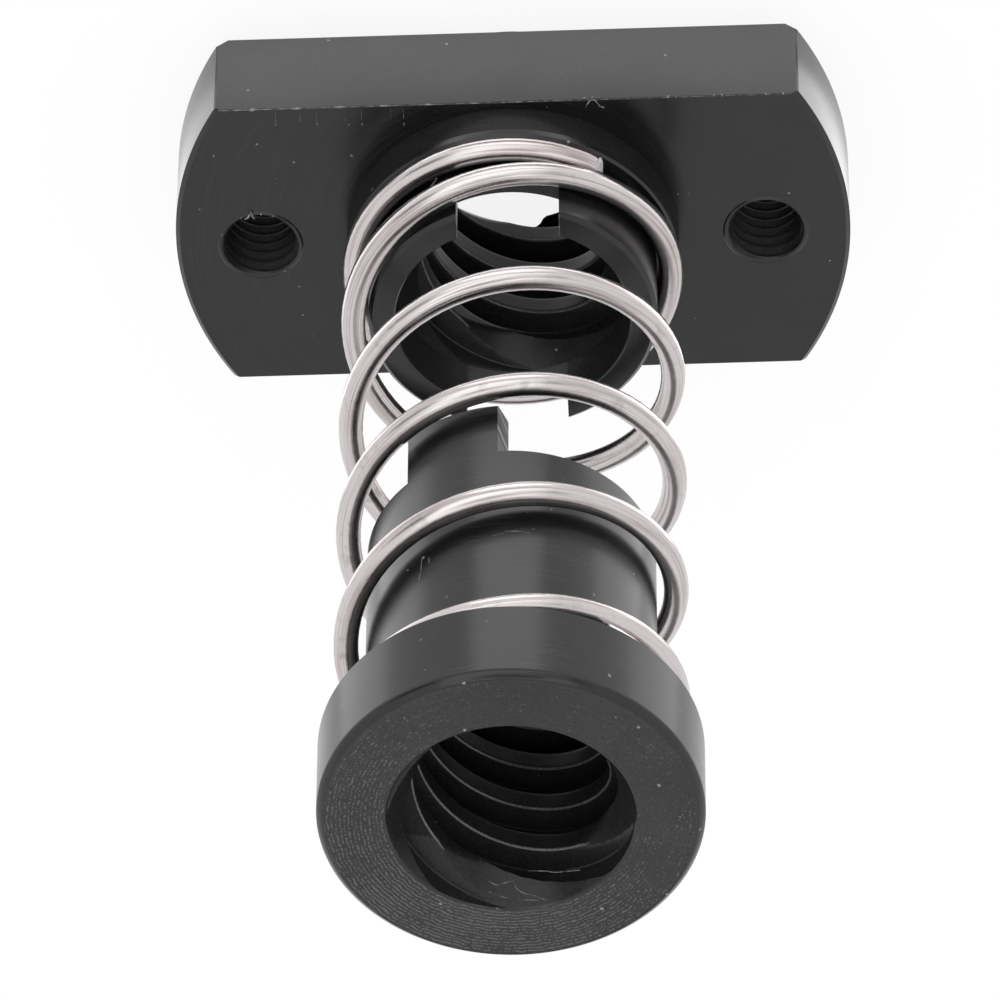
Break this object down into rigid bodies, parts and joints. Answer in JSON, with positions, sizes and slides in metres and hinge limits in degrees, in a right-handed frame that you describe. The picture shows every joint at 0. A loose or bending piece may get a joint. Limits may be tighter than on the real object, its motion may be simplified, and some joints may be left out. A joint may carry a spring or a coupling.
{
  "type": "spring-loaded lead screw nut",
  "caption": "Anti-backlash lead screw nut: a flanged nut with a slotted sleeve, a coil spring seated on it, and a sliding nut with a collar and tangs that key into the slots.",
  "frame": {"origin": "on the screw's axis, in the flange's mounting face", "axes": "+Z along the screw's axis from the flange towards the sliding nut's collar; X through the two tapped holes; Y across the flats"},
  "size_m": [0.024, 0.013, 0.0357],
  "materials": {
    "flange_acetal": "black acetal, satin as turned and milled",
    "nut_acetal": "black acetal, satin as turned and milled",
    "spring_wire": "bright drawn stainless wire"
  },
  "bodies": {
    "flange": {"flange_nut": "flange_acetal"},
    "coil": {"spring": "spring_wire"},
    "nut": {"sliding_nut": "nut_acetal"}
  },
  "joints": [
    {"name": "turn", "type": "hinge", "parent": "flange", "child": "coil", "pos_m": [0, 0, 0], "axis": [0, 0, 1], "continuous": true},
    {"name": "compress", "type": "slide", "parent": "coil", "child": "nut", "axis": [0, 0, 1], "range_m": [-0.0103, 0], "stiffness_N_per_m": 300, "deforming": ["spring"]}
  ]
}
